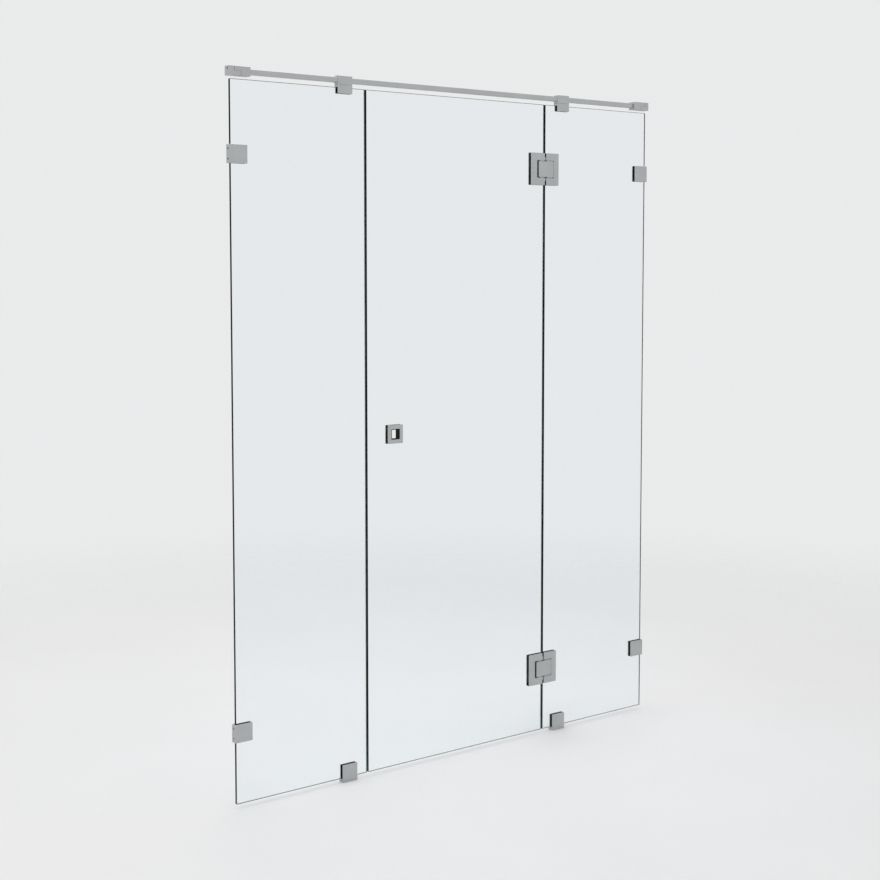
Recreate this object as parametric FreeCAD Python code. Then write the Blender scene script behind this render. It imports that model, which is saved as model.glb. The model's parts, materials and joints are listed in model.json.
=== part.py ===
import FreeCAD
import Part
import os
from math import cos, pi, sin

# Frameless glass shower front for a niche: two fixed panels and a door that opens outwards.
# Millimetres. X runs along the glass from the left wall to the right wall, Y from the outside
# to the inside of the shower, Z up. The origin is on the floor, in the middle of the niche and
# in the mid-plane of the glass. The outside, with the flush faces, is at negative Y.

# Niche and glass
NICHE_WIDTH = 1600.0
GLASS_HEIGHT = 1988.0
FLOOR_GAP = 12.0
WALL_GAP = 5.0
DOOR_WIDTH = 688.0
DOOR_GAP = 4.5
GLASS_THICKNESS = 8.0
GLASS_ARRIS = 0.8
GLASS_CORNER = 2.0

# Plates that grip the glass, with a gasket on each side of it
PLATE = 2.0
GASKET = 3.0
GASKET_INSET = 0.3
PLATE_CORNER = 1.5
PLATE_CHAMFER = 0.6
PLATE_JOINT = 0.2

# Screws and threads
THREAD_PLAY = 0.05
SCREW_PLAY = 0.4
HEAD_PLAY = 0.15
HEAD_LAND = 0.4
SOCKET_SHARE = 0.55
SOCKET_DEPTH_SHARE = 0.7
BLIND_END = 1.5
BOSS_END_GAP = 2.0

# Wall clamps
CLAMP_REACH = 55.5
CLAMP_HEIGHT = 51.0
CLAMP_INSET = 200.0
CLAMP_LEG = 4.0
CLAMP_HOLE_SETBACK = 25.0
CLAMP_SCREW_R = 3.0
CLAMP_SCREW_HEAD_R = 5.6
CLAMP_BOSS_R = 6.0
CLAMP_GLASS_HOLE_R = 9.0
BUSHING_PLAY = 0.15
ANCHOR_SPACING = 28.0
ANCHOR_HOLE_R = 2.6
ANCHOR_HEAD_R = 4.8

# Floor clamps
FLOOR_CLAMP_WIDTH = 52.0
FLOOR_CLAMP_HEIGHT = 52.0
FLOOR_CLAMP_INSET = 65.0
SETTING_PAD = 2.0
SETTING_PAD_LENGTH = 16.0

# Stabiliser bar, and the half-lapped wall bases and sockets at its ends
BAR_SIZE = 15.0
BAR_WALL = 1.5
BAR_CORNER = 1.5
BAR_RISE = 20.5
BAR_PLAY = 0.1
BAR_END_PLAY = 0.5
SOCKET_SIZE = 26.0
SOCKET_LENGTH = 29.5
SOCKET_CHAMFER = 0.6
SOCKET_END_WALL = 4.0
WALL_BASE = 14.0
LAP_LENGTH = 21.0
LAP_GAP = 0.8
LAP_CHAMFER = 0.4
LAP_ROOF = 4.0
LAP_SCREW_R = 2.5
LAP_SCREW_HEAD_R = 4.6
SET_SCREW_R = 2.5

# Connectors between the bar and the fixed panels
CONNECTOR_WIDTH = 50.0
CONNECTOR_INSET = 72.0
SLEEVE_HEIGHT = 25.0
CLIP_GRIP = 17.0
CLIP_PAD = 1.0
CLIP_SCREW_SPACING = 28.0
CLIP_SCREW_R = 2.0
CLIP_SCREW_HEAD_R = 3.8
CLIP_GRUB_R = 2.0
CLIP_GRUB_LENGTH = 4.0

# Hinges, measured from the pin axis
HINGE_INSET = 200.0
PIN_R = 2.5
PIN_PLAY = 0.05
PIN_END_SETBACK = 1.0
KNUCKLE_WALL = 2.0
LEAF_REACH = 58.0
LEAF_HEIGHT = 100.0
LEAF_CORNER = 2.0
DOOR_SPLIT = 0.5
FIXED_SPLIT_PLAY = 0.7
BACK_SPLIT = 1.5
BLOCK_DOOR_SIDE = 28.0
BLOCK_FIXED_SIDE = 34.0
BLOCK_HEIGHT = 49.0
BLOCK_PROUD = 2.5
BLOCK_CHAMFER = 0.8
BLOCK_GROOVE = 2.6
BLOCK_DOOR_GROOVE = 5.0
LUG_REACH = 19.0
LUG_SETBACK = 1.0
ARM_HEIGHT = 10.0
ARM_PAST_AXIS = 4.0
ARM_BACK_GAP = 1.5
ARM_RUN = 0.4
WEB_RUN = 1.6
WEB_SETBACK = 1.0
EAR_START = 10.0
HINGE_SCREW_OFFSET = 22.0
HINGE_SCREW_R = 2.5
HINGE_SCREW_HEAD_R = 4.6
HINGE_BOSS_R = 4.2
HINGE_BOSS_PLAY = 0.2
NOTCH_CLEARANCE = 2.5
NOTCH_CORNER = 6.0
BUSH_WALL = 1.5
BUSH_LENGTH = 15.0
BUSH_FLANGE_R = 4.4
PIN_SET_SCREW_R = 2.0

# Finger pull
PULL_SIZE = 55.0
PULL_OPENING = 31.0
PULL_INSET = 99.0
PULL_GLASS_HOLE_R = 24.0
PULL_CORNER = 2.0
LINER_WALL = 2.0
LINER_PLAY = 0.1
LINER_SETBACK = 0.3
LINER_HOLE_PLAY = 0.3
PULL_SCREW_R = 1.5
PULL_SCREW_HEAD_R = 2.9
PULL_BOSS_R = 2.9

# Places that follow from the sizes above
HALF_NICHE = NICHE_WIDTH / 2
HALF_GLASS = GLASS_THICKNESS / 2
INNER = HALF_GLASS + GASKET
OUTER = INNER + PLATE
GLASS_BOTTOM = FLOOR_GAP
GLASS_TOP = GLASS_BOTTOM + GLASS_HEIGHT
PANEL_WALL_EDGE = HALF_NICHE - WALL_GAP
PANEL_FREE_EDGE = DOOR_WIDTH / 2 + DOOR_GAP
LEVELS = {"upper": GLASS_TOP - CLAMP_INSET, "lower": GLASS_BOTTOM + CLAMP_INSET}
HINGE_LEVELS = {"upper": GLASS_TOP - HINGE_INSET, "lower": GLASS_BOTTOM + HINGE_INSET}
SIDES = ("left", "right")
FLOOR_CLAMP_X = -PANEL_FREE_EDGE - FLOOR_CLAMP_INSET
FOOT = FLOOR_GAP - SETTING_PAD
FLOOR_CLAMP_HOLE_Z = GLASS_BOTTOM + (FLOOR_CLAMP_HEIGHT - GLASS_BOTTOM) / 2
CLAMP_HOLE_X = WALL_GAP + CLAMP_HOLE_SETBACK
BAR_Z = GLASS_TOP + BAR_RISE
LAP_TIP = WALL_BASE + LAP_LENGTH
CONNECTOR_X = -PANEL_FREE_EDGE - CONNECTOR_INSET
SLEEVE_BOTTOM = BAR_Z - SLEEVE_HEIGHT / 2
CLIP_BOTTOM = GLASS_TOP - CLIP_GRIP
KNUCKLE_R = PIN_R + KNUCKLE_WALL
AXIS_X = DOOR_WIDTH / 2
AXIS_Y = KNUCKLE_R - OUTER
NOTCH_WALL = BLOCK_DOOR_SIDE + BLOCK_DOOR_GROOVE
ARM_START = BLOCK_HEIGHT / 2 + BLOCK_GROOVE
ARM_END = ARM_START + ARM_HEIGHT
ARM_BACK = INNER - ARM_BACK_GAP
HINGE_SCREW_Z = ARM_START + ARM_HEIGHT / 2
NOTCH_HALF_HEIGHT = ARM_END + NOTCH_CLEARANCE
DOOR_NOTCH_REACH = NOTCH_WALL + NOTCH_CLEARANCE
FIXED_NOTCH_REACH = BLOCK_FIXED_SIDE + NOTCH_CLEARANCE
PULL_X = PULL_INSET - DOOR_WIDTH / 2
PULL_Z = GLASS_BOTTOM + GLASS_HEIGHT / 2
PULL_SCREW_OFFSET = (PULL_OPENING / 2 + PULL_GLASS_HOLE_R) / 2

ORIGIN = FreeCAD.Vector(0, 0, 0)
UP = FreeCAD.Vector(0, 0, 1)
DOWN = FreeCAD.Vector(0, 0, -1)
ALONG_X = FreeCAD.Vector(1, 0, 0)
OUTWARD = FreeCAD.Vector(0, -1, 0)
INWARD = FreeCAD.Vector(0, 1, 0)
FLAT = 0.01
PAST = 1.0


# Drawing helpers


def block(x0, x1, y0, y1, z0, z1):
    return Part.makeBox(x1 - x0, y1 - y0, z1 - z0, FreeCAD.Vector(x0, y0, z0))


def rod(radius, start, direction, length):
    return Part.makeCylinder(radius, length, start, direction)


def moved(shape, x, y, z):
    copy = shape.copy()
    copy.translate(FreeCAD.Vector(x, y, z))
    return copy


def on_side(shape, side):
    """A shape drawn on the left half of the niche, or its mirror image on the right half."""
    if side == "left":
        return shape
    return shape.mirror(ORIGIN, ALONG_X)


def edges_along(shape, axis):
    """Straight edges that run along X (0), Y (1) or Z (2)."""
    chosen = []
    for edge in shape.Edges:
        spans = (edge.BoundBox.XLength, edge.BoundBox.YLength, edge.BoundBox.ZLength)
        across = [span for i, span in enumerate(spans) if i != axis]
        if max(across) < FLAT:
            chosen.append(edge)
    return chosen


def edges_in_face(shape, y):
    """Edges that lie in the plane at this Y."""
    return [
        edge
        for edge in shape.Edges
        if abs(edge.BoundBox.YMin - y) < FLAT and abs(edge.BoundBox.YMax - y) < FLAT
    ]


def plate(x0, x1, z0, z1, y0, y1, corner):
    """A flat plate that faces Y, with its four corners rounded."""
    blank = block(x0, x1, y0, y1, z0, z1)
    return blank.makeFillet(corner, edges_along(blank, 1))


def square_prism(size, x0, x1, y, z, corner):
    """A square rod along X, with its long edges rounded."""
    half = size / 2
    blank = block(x0, x1, y - half, y + half, z - half, z + half)
    return blank.makeFillet(corner, edges_along(blank, 0))


def turned(profile):
    """A solid of revolution about Z from its (radius, height) corners."""
    corners = [FreeCAD.Vector(radius, 0, height) for radius, height in profile]
    face = Part.Face(Part.makePolygon(corners + corners[:1]))
    return face.revolve(ORIGIN, UP, 360)


def hex_socket(radius, depth):
    """A hexagonal key recess that goes down from the origin."""
    corners = [
        FreeCAD.Vector(radius * cos(k * pi / 3), radius * sin(k * pi / 3), 0) for k in range(6)
    ]
    face = Part.Face(Part.makePolygon(corners + corners[:1]))
    return face.extrude(DOWN * depth)


def pointed(shape, start, direction):
    """Takes a shape drawn downwards from the origin to a start point and a direction."""
    copy = shape.copy()
    copy.Placement = FreeCAD.Placement(start, FreeCAD.Rotation(DOWN, direction))
    return copy


def countersunk_form(shank_r, head_r, length):
    cone_end = HEAD_LAND + head_r - shank_r
    return turned(
        [
            (0, 0),
            (head_r, 0),
            (head_r, -HEAD_LAND),
            (shank_r, -cone_end),
            (shank_r, -length),
            (0, -length),
        ]
    )


def countersunk_screw(shank_r, head_r, length):
    socket = hex_socket(shank_r * 2 * SOCKET_SHARE, shank_r * SOCKET_DEPTH_SHARE)
    return countersunk_form(shank_r, head_r, length).cut(socket)


def countersunk_hole(shank_r, head_r, length):
    return countersunk_form(shank_r, head_r + HEAD_PLAY, length)


def grub_screw(radius, length):
    tip = radius / 3
    body = turned(
        [(0, 0), (radius, 0), (radius, tip - length), (radius - tip, -length), (0, -length)]
    )
    return body.cut(hex_socket(radius * SOCKET_SHARE, radius))


# Glass


def pane(x0, x1):
    return plate(x0, x1, GLASS_BOTTOM, GLASS_TOP, -HALF_GLASS, HALF_GLASS, GLASS_CORNER)


def hinge_notch(x0, x1, z):
    """A hinge cut-out with round inner corners; it runs past the edge of the pane."""
    half = NOTCH_HALF_HEIGHT
    return plate(x0, x1, z - half, z + half, -GLASS_THICKNESS, GLASS_THICKNESS, NOTCH_CORNER)


def glass_hole(x, z, radius):
    return rod(radius, FreeCAD.Vector(x, -GLASS_THICKNESS, z), INWARD, 2 * GLASS_THICKNESS)


def polished(glass):
    """Takes the sharp arris off every edge of a pane, cut-outs and holes included."""
    edges = edges_in_face(glass, -HALF_GLASS) + edges_in_face(glass, HALF_GLASS)
    return glass.makeChamfer(GLASS_ARRIS, edges)


def fixed_glass(side):
    glass = on_side(pane(-PANEL_WALL_EDGE, -PANEL_FREE_EDGE), side)
    cuts = [glass_hole(CLAMP_HOLE_X - HALF_NICHE, z, CLAMP_GLASS_HOLE_R) for z in LEVELS.values()]
    cuts.append(glass_hole(FLOOR_CLAMP_X, FLOOR_CLAMP_HOLE_Z, CLAMP_GLASS_HOLE_R))
    cuts = [on_side(cut, side) for cut in cuts]
    if side == "right":
        past_edge = AXIS_X - NOTCH_CORNER - PAST
        reach = AXIS_X + FIXED_NOTCH_REACH
        cuts += [hinge_notch(past_edge, reach, z) for z in HINGE_LEVELS.values()]
    return polished(glass.cut(cuts))


def door_glass():
    glass = pane(-DOOR_WIDTH / 2, DOOR_WIDTH / 2)
    past_edge = AXIS_X + NOTCH_CORNER + PAST
    cuts = [hinge_notch(AXIS_X - DOOR_NOTCH_REACH, past_edge, z) for z in HINGE_LEVELS.values()]
    cuts.append(glass_hole(PULL_X, PULL_Z, PULL_GLASS_HOLE_R))
    return polished(glass.cut(cuts))


# Clamps: an angle with a threaded boss, a back plate, two gaskets, a screw and a bushing


def face_plate(x0, x1, z0, z1, corner=PLATE_CORNER):
    """The outside plate of a clamp or leaf, with its front edges eased."""
    raw = plate(x0, x1, z0, z1, -OUTER, -INNER, corner)
    return raw.makeChamfer(PLATE_CHAMFER, edges_in_face(raw, -OUTER))


def rear_plate(x0, x1, z0, z1, corner=PLATE_CORNER):
    """The inside plate of a clamp or leaf, with its rear edges eased."""
    raw = plate(x0, x1, z0, z1, INNER, OUTER, corner)
    return raw.makeChamfer(PLATE_CHAMFER, edges_in_face(raw, OUTER))


def boss(x, z, radius):
    start = FreeCAD.Vector(x, -INNER, z)
    return rod(radius, start, INWARD, 2 * INNER - BOSS_END_GAP)


def boss_thread(x, z, screw_r):
    start = FreeCAD.Vector(x, BLIND_END - OUTER, z)
    return rod(screw_r + THREAD_PLAY, start, INWARD, OUTER + INNER)


def rear_screw(x, z, screw_r, head_r):
    """A countersunk screw that goes in from the inside face."""
    length = 2 * OUTER - 2 * BLIND_END
    return pointed(countersunk_screw(screw_r, head_r, length), FreeCAD.Vector(x, OUTER, z), OUTWARD)


def rear_screw_hole(x, z, screw_r, head_r):
    hole = countersunk_hole(screw_r + SCREW_PLAY, head_r, 2 * PLATE)
    return pointed(hole, FreeCAD.Vector(x, OUTER, z), OUTWARD)


def gasket_pair(x0, x1, z0, z1, cut):
    """Two gaskets, one on each face of the glass, with the same cut-out."""
    inset = GASKET_INSET
    pair = []
    for y0, y1 in ((-INNER, -HALF_GLASS), (HALF_GLASS, INNER)):
        sheet = plate(x0 + inset, x1 - inset, z0 + inset, z1 - inset, y0, y1, PLATE_CORNER)
        pair.append(sheet.cut(cut))
    return pair


def glass_hole_bushing(x, z):
    outer = CLAMP_GLASS_HOLE_R - BUSHING_PLAY
    inner = CLAMP_BOSS_R + BUSHING_PLAY
    start = FreeCAD.Vector(x, -INNER, z)
    length = 2 * INNER - BOSS_END_GAP
    return rod(outer, start, INWARD, length).cut(rod(inner, start, INWARD, length))


def clamp_set(x0, x1, z0, z1, hole_x, hole_z, leg, rear):
    """The pieces of one clamp; leg is its foot on the building, rear its back plate."""
    body = face_plate(x0, x1, z0, z1).fuse([leg, boss(hole_x, hole_z, CLAMP_BOSS_R)])
    body = body.removeSplitter().cut(boss_thread(hole_x, hole_z, CLAMP_SCREW_R))
    seat = glass_hole(hole_x, hole_z, CLAMP_GLASS_HOLE_R)
    return {
        "body": body,
        "back_plate": rear.cut(rear_screw_hole(hole_x, hole_z, CLAMP_SCREW_R, CLAMP_SCREW_HEAD_R)),
        "screw": rear_screw(hole_x, hole_z, CLAMP_SCREW_R, CLAMP_SCREW_HEAD_R),
        "bushing": glass_hole_bushing(hole_x, hole_z),
        "seat": seat,
    }


def wall_clamp(z):
    """A clamp on the left wall; its leg lies on the wall and takes two anchor screws."""
    wall = -HALF_NICHE
    end = wall + CLAMP_REACH
    z0 = z - CLAMP_HEIGHT / 2
    z1 = z + CLAMP_HEIGHT / 2
    leg_face = wall + CLAMP_LEG
    leg = block(wall, leg_face, -OUTER + PLATE_CHAMFER, OUTER, z0, z1)
    wall_corners = [edge for edge in edges_along(leg, 1) if edge.BoundBox.XMax < wall + FLAT]
    leg = leg.makeFillet(PLATE_CORNER, wall_corners)
    hole = countersunk_hole(ANCHOR_HOLE_R, ANCHOR_HEAD_R - HEAD_PLAY, CLAMP_LEG + PAST)
    for offset in (-ANCHOR_SPACING / 2, ANCHOR_SPACING / 2):
        leg = leg.cut(pointed(hole, FreeCAD.Vector(leg_face, 0, z + offset), ALONG_X * -1))
    rear = rear_plate(leg_face + PLATE_JOINT, end, z0, z1)
    pieces = clamp_set(wall, end, z0, z1, wall + CLAMP_HOLE_X, z, leg, rear)
    pieces["gaskets"] = gasket_pair(wall + WALL_GAP, end, z0, z1, pieces["seat"])
    return pieces


def floor_clamp():
    """The left floor clamp; its foot stands on the floor and takes two anchor screws."""
    x0 = FLOOR_CLAMP_X - FLOOR_CLAMP_WIDTH / 2
    x1 = FLOOR_CLAMP_X + FLOOR_CLAMP_WIDTH / 2
    foot = block(x0, x1, -OUTER + PLATE_CHAMFER, OUTER, 0, FOOT)
    floor_corners = [edge for edge in edges_along(foot, 1) if edge.BoundBox.ZMax < FLAT]
    foot = foot.makeFillet(PLATE_CORNER, floor_corners)
    hole = countersunk_hole(ANCHOR_HOLE_R, ANCHOR_HEAD_R - HEAD_PLAY, FOOT + PAST)
    for offset in (-ANCHOR_SPACING / 2, ANCHOR_SPACING / 2):
        foot = foot.cut(pointed(hole, FreeCAD.Vector(FLOOR_CLAMP_X + offset, 0, FOOT), DOWN))
    rear = rear_plate(x0, x1, FOOT + PLATE_JOINT, FLOOR_CLAMP_HEIGHT)
    pieces = clamp_set(
        x0, x1, 0, FLOOR_CLAMP_HEIGHT, FLOOR_CLAMP_X, FLOOR_CLAMP_HOLE_Z, foot, rear
    )
    pieces["gaskets"] = gasket_pair(x0, x1, GLASS_BOTTOM, FLOOR_CLAMP_HEIGHT, pieces["seat"])
    half_pad = SETTING_PAD_LENGTH / 2
    pad_x = (FLOOR_CLAMP_X - half_pad, FLOOR_CLAMP_X + half_pad)
    pieces["pad"] = block(*pad_x, -HALF_GLASS, HALF_GLASS, FOOT, GLASS_BOTTOM)
    return pieces


# Stabiliser bar


def stabiliser_bar():
    end = HALF_NICHE - LAP_TIP - LAP_GAP - SOCKET_END_WALL - BAR_END_PLAY
    outside = square_prism(BAR_SIZE, -end, end, 0, BAR_Z, BAR_CORNER)
    bore_size = BAR_SIZE - 2 * BAR_WALL
    bore_corner = BAR_CORNER / 3
    return outside.cut(square_prism(bore_size, -end - PAST, end + PAST, 0, BAR_Z, bore_corner))


def half_section(x0, x1, half):
    """The upper (1) or lower (-1) half of the socket's section, as a cutter."""
    z0, z1 = sorted((BAR_Z, BAR_Z + half * SOCKET_SIZE))
    return block(x0, x1, -SOCKET_SIZE, SOCKET_SIZE, z0, z1)


def lap_eased(shape):
    """Eases the two long edges of a lap, which make the level seam."""
    seam = [edge for edge in edges_along(shape, 0) if abs(edge.BoundBox.ZMax - BAR_Z) < FLAT]
    return shape.makeChamfer(LAP_CHAMFER, seam)


def lap_screw_start():
    x = -HALF_NICHE + WALL_BASE + LAP_LENGTH / 2
    return FreeCAD.Vector(x, 0, BAR_Z - SOCKET_SIZE / 2)


def bar_wall_base():
    """A block on the left wall; its lower half runs on as a tongue under the socket."""
    wall = -HALF_NICHE
    face = wall + WALL_BASE
    tip = wall + LAP_TIP
    base = square_prism(SOCKET_SIZE, wall, tip, 0, BAR_Z, PLATE_CORNER)
    base = lap_eased(base.cut(half_section(face, tip + PAST, 1)))
    anchor = countersunk_hole(ANCHOR_HOLE_R, ANCHOR_HEAD_R - HEAD_PLAY, WALL_BASE + PAST)
    anchor_start = FreeCAD.Vector(face, 0, BAR_Z + SOCKET_SIZE / 4)
    lap_hole = countersunk_hole(LAP_SCREW_R + SCREW_PLAY, LAP_SCREW_HEAD_R, SOCKET_SIZE)
    holes = [pointed(anchor, anchor_start, ALONG_X * -1), pointed(lap_hole, lap_screw_start(), UP)]
    return base.cut(holes)


def socket_set_screw_start():
    x = -HALF_NICHE + LAP_TIP + LAP_GAP + SOCKET_END_WALL + (SOCKET_LENGTH - SOCKET_END_WALL) / 2
    return FreeCAD.Vector(x, 0, BAR_Z - SOCKET_SIZE / 2)


def bar_socket():
    """A socket on the bar's left end; its upper half runs on over the tongue of the wall base."""
    start = -HALF_NICHE + WALL_BASE + LAP_GAP
    body = -HALF_NICHE + LAP_TIP + LAP_GAP
    end = body + SOCKET_LENGTH
    socket = square_prism(SOCKET_SIZE, start, end, 0, BAR_Z, PLATE_CORNER)
    rim = [edge for edge in socket.Edges if edge.BoundBox.XMin > end - FLAT]
    socket = socket.makeChamfer(SOCKET_CHAMFER, rim)
    socket = lap_eased(socket.cut(half_section(start - PAST, body, -1)))
    bore_size = BAR_SIZE + 2 * BAR_PLAY
    cuts = [
        square_prism(bore_size, body + SOCKET_END_WALL, end + PAST, 0, BAR_Z, BAR_CORNER),
        rod(SET_SCREW_R + THREAD_PLAY, socket_set_screw_start(), UP, SOCKET_SIZE / 2),
        rod(LAP_SCREW_R + THREAD_PLAY, lap_screw_start(), UP, SOCKET_SIZE - LAP_ROOF),
    ]
    return socket.cut(cuts)


def bar_socket_set_screw():
    length = (SOCKET_SIZE - BAR_SIZE) / 2
    return pointed(grub_screw(SET_SCREW_R, length), socket_set_screw_start(), UP)


def bar_lap_screw():
    """The screw that clamps the two halves of a lap, put in from below."""
    screw = countersunk_screw(LAP_SCREW_R, LAP_SCREW_HEAD_R, SOCKET_SIZE - LAP_ROOF - BLIND_END)
    return pointed(screw, lap_screw_start(), UP)


# Connectors: a sleeve on the bar over a clip on the top edge of a fixed panel


def connector_span():
    return CONNECTOR_X - CONNECTOR_WIDTH / 2, CONNECTOR_X + CONNECTOR_WIDTH / 2


def clip_screw_places():
    return [CONNECTOR_X + side * CLIP_SCREW_SPACING / 2 for side in (-1, 1)]


def eased_block(x0, x1, z0, z1):
    """A block as deep as a clamp, with rounded corners and eased front and rear edges."""
    raw = plate(x0, x1, z0, z1, -OUTER, OUTER, PLATE_CORNER)
    return raw.makeChamfer(PLATE_CHAMFER, edges_in_face(raw, -OUTER) + edges_in_face(raw, OUTER))


def bar_sleeve():
    x0, x1 = connector_span()
    sleeve = eased_block(x0, x1, SLEEVE_BOTTOM, SLEEVE_BOTTOM + SLEEVE_HEIGHT)
    bore_size = BAR_SIZE + 2 * BAR_PLAY
    cuts = [square_prism(bore_size, x0 - PAST, x1 + PAST, 0, BAR_Z, BAR_CORNER)]
    top = FreeCAD.Vector(CONNECTOR_X, 0, SLEEVE_BOTTOM + SLEEVE_HEIGHT)
    cuts.append(rod(SET_SCREW_R + THREAD_PLAY, top, DOWN, SLEEVE_HEIGHT / 2))
    for x in clip_screw_places():
        start = FreeCAD.Vector(x, 0, SLEEVE_BOTTOM - PAST)
        cuts.append(rod(CLIP_SCREW_R + THREAD_PLAY, start, UP, SLEEVE_HEIGHT / 2))
    return sleeve.cut(cuts)


def bar_sleeve_set_screw():
    top = FreeCAD.Vector(CONNECTOR_X, 0, SLEEVE_BOTTOM + SLEEVE_HEIGHT)
    return pointed(grub_screw(SET_SCREW_R, (SLEEVE_HEIGHT - BAR_SIZE) / 2), top, DOWN)


def clip_channel(x0, x1, half_width):
    """The slot of the clip, open at the bottom and at both ends."""
    return block(x0, x1, -half_width, half_width, CLIP_BOTTOM - PAST, GLASS_TOP + CLIP_PAD)


def clip_grub_start(x):
    return FreeCAD.Vector(x, OUTER, GLASS_TOP - CLIP_GRIP / 2)


def clip_grub_hole(x):
    return rod(CLIP_GRUB_R + THREAD_PLAY, clip_grub_start(x), OUTWARD, CLIP_GRUB_LENGTH)


def glass_clip():
    x0, x1 = connector_span()
    clip = eased_block(x0, x1, CLIP_BOTTOM, SLEEVE_BOTTOM)
    cuts = [clip_channel(x0 - PAST, x1 + PAST, INNER)]
    web = SLEEVE_BOTTOM - GLASS_TOP - CLIP_PAD
    hole = countersunk_hole(CLIP_SCREW_R + SCREW_PLAY / 2, CLIP_SCREW_HEAD_R, web + PAST)
    for x in clip_screw_places():
        cuts.append(pointed(hole, FreeCAD.Vector(x, 0, GLASS_TOP + CLIP_PAD), UP))
        cuts.append(clip_grub_hole(x))
    return clip.cut(cuts)


def clip_joining_screws():
    """Screws that go up from the slot of the clip into the floor of the sleeve."""
    floor = (SLEEVE_HEIGHT - BAR_SIZE) / 2 - BAR_PLAY
    length = SLEEVE_BOTTOM - GLASS_TOP - CLIP_PAD + floor - PLATE_JOINT
    screw = countersunk_screw(CLIP_SCREW_R, CLIP_SCREW_HEAD_R, length)
    start_z = GLASS_TOP + CLIP_PAD
    return [pointed(screw, FreeCAD.Vector(x, 0, start_z), UP) for x in clip_screw_places()]


def clip_grub_screws():
    screw = grub_screw(CLIP_GRUB_R, CLIP_GRUB_LENGTH)
    return [pointed(screw, clip_grub_start(x), OUTWARD) for x in clip_screw_places()]


def clip_gasket():
    """A strip folded over the top edge of the glass, with pockets for the grub screws."""
    x0, x1 = connector_span()
    x0 += GASKET_INSET
    x1 -= GASKET_INSET
    bottom = CLIP_BOTTOM + GASKET_INSET
    strip = block(x0, x1, -INNER, INNER, bottom, GLASS_TOP + CLIP_PAD)
    glass = block(x0, x1, -HALF_GLASS, HALF_GLASS, bottom, GLASS_TOP)
    return strip.cut([glass] + [clip_grub_hole(x) for x in clip_screw_places()])


# Hinges, drawn about their pin axis: X from the axis, Z from the middle of the hinge


def arm_signs():
    return (1, -1)


def arm_span(sign, start, end):
    """Lowest and highest Z of a piece that lies above (1) or below (-1) the hinge block."""
    return sorted((sign * start, sign * end))


def axis_rod(radius, z0, z1):
    return rod(radius, FreeCAD.Vector(0, AXIS_Y, z0), UP, z1 - z0)


def block_window(x0, x1):
    """The cut-out of the leaves round the hinge block."""
    return block(x0, x1, -2 * OUTER, 2 * OUTER, -ARM_START, ARM_START)


def front_leaf(x0, x1, window):
    """An outside leaf plate with its window cut and all its front edges eased."""
    half = LEAF_HEIGHT / 2
    raw = plate(x0, x1, -half, half, -OUTER, -INNER, LEAF_CORNER).cut(window)
    return raw.makeChamfer(PLATE_CHAMFER, edges_in_face(raw, -OUTER))


def rear_leaf(x0, x1, window, screw_x):
    """An inside leaf plate with its window, eased rear edges and two countersunk holes."""
    half = LEAF_HEIGHT / 2
    raw = plate(x0, x1, -half, half, INNER, OUTER, LEAF_CORNER).cut(window)
    leaf = raw.makeChamfer(PLATE_CHAMFER, edges_in_face(raw, OUTER))
    for sign in arm_signs():
        hole = rear_screw_hole(screw_x, sign * HINGE_SCREW_Z, HINGE_SCREW_R, HINGE_SCREW_HEAD_R)
        leaf = leaf.cut(hole)
    return leaf


def door_window():
    return block_window(-NOTCH_WALL, LEAF_REACH)


def fixed_window():
    return block_window(-LEAF_REACH, BLOCK_FIXED_SIDE + BLOCK_GROOVE)


def arm_lug(sign):
    """A lug on an arm that fills the groove of the block beside the pin."""
    z0, z1 = arm_span(sign, BLOCK_HEIGHT / 2 + ARM_RUN, ARM_START + PAST)
    lug = block(-LUG_REACH, 0, LUG_SETBACK - OUTER, AXIS_Y, z0, z1)
    return lug.cut(axis_rod(BUSH_FLANGE_R + ARM_RUN, z0, z1))


def arm_web():
    """The web that joins the two arms, deep in the groove beside the block."""
    web_face = BLOCK_DOOR_SIDE + WEB_RUN
    return block(-NOTCH_WALL, -web_face, WEB_SETBACK - INNER, ARM_BACK, -ARM_START, ARM_START)


def door_leaf():
    """The outside door leaf: a plate with two thick, joined arms that end in the knuckles."""
    leaf = front_leaf(-LEAF_REACH, -DOOR_SPLIT, door_window())
    adds = [arm_web()]
    cuts = []
    for sign in arm_signs():
        z0, z1 = arm_span(sign, ARM_START, ARM_END)
        adds.append(block(-NOTCH_WALL, ARM_PAST_AXIS, -INNER, ARM_BACK, z0, z1))
        adds.append(axis_rod(KNUCKLE_R, z0, z1))
        adds.append(arm_lug(sign))
        cuts.append(axis_rod(PIN_R + PIN_PLAY, z0 - PAST, z1 + PAST))
        z = sign * HINGE_SCREW_Z
        cuts.append(boss_thread(-HINGE_SCREW_OFFSET, z, HINGE_SCREW_R))
        set_screw_start = FreeCAD.Vector(0, AXIS_Y, z)
        cuts.append(rod(PIN_SET_SCREW_R + THREAD_PLAY, set_screw_start, INWARD, 2 * OUTER))
    return leaf.fuse(adds).removeSplitter().cut(cuts)


def door_rear_leaf():
    return rear_leaf(-LEAF_REACH, -BACK_SPLIT, door_window(), -HINGE_SCREW_OFFSET)


def fixed_leaf():
    """The outside fixed leaf: a plate with two threaded bosses that carry the hinge block."""
    leaf = front_leaf(KNUCKLE_R + FIXED_SPLIT_PLAY, LEAF_REACH, fixed_window())
    for sign in arm_signs():
        z = sign * HINGE_SCREW_Z
        leaf = leaf.fuse(boss(HINGE_SCREW_OFFSET, z, HINGE_BOSS_R))
        leaf = leaf.cut(boss_thread(HINGE_SCREW_OFFSET, z, HINGE_SCREW_R))
    return leaf


def fixed_rear_leaf():
    return rear_leaf(BACK_SPLIT, LEAF_REACH, fixed_window(), HINGE_SCREW_OFFSET)


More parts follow.
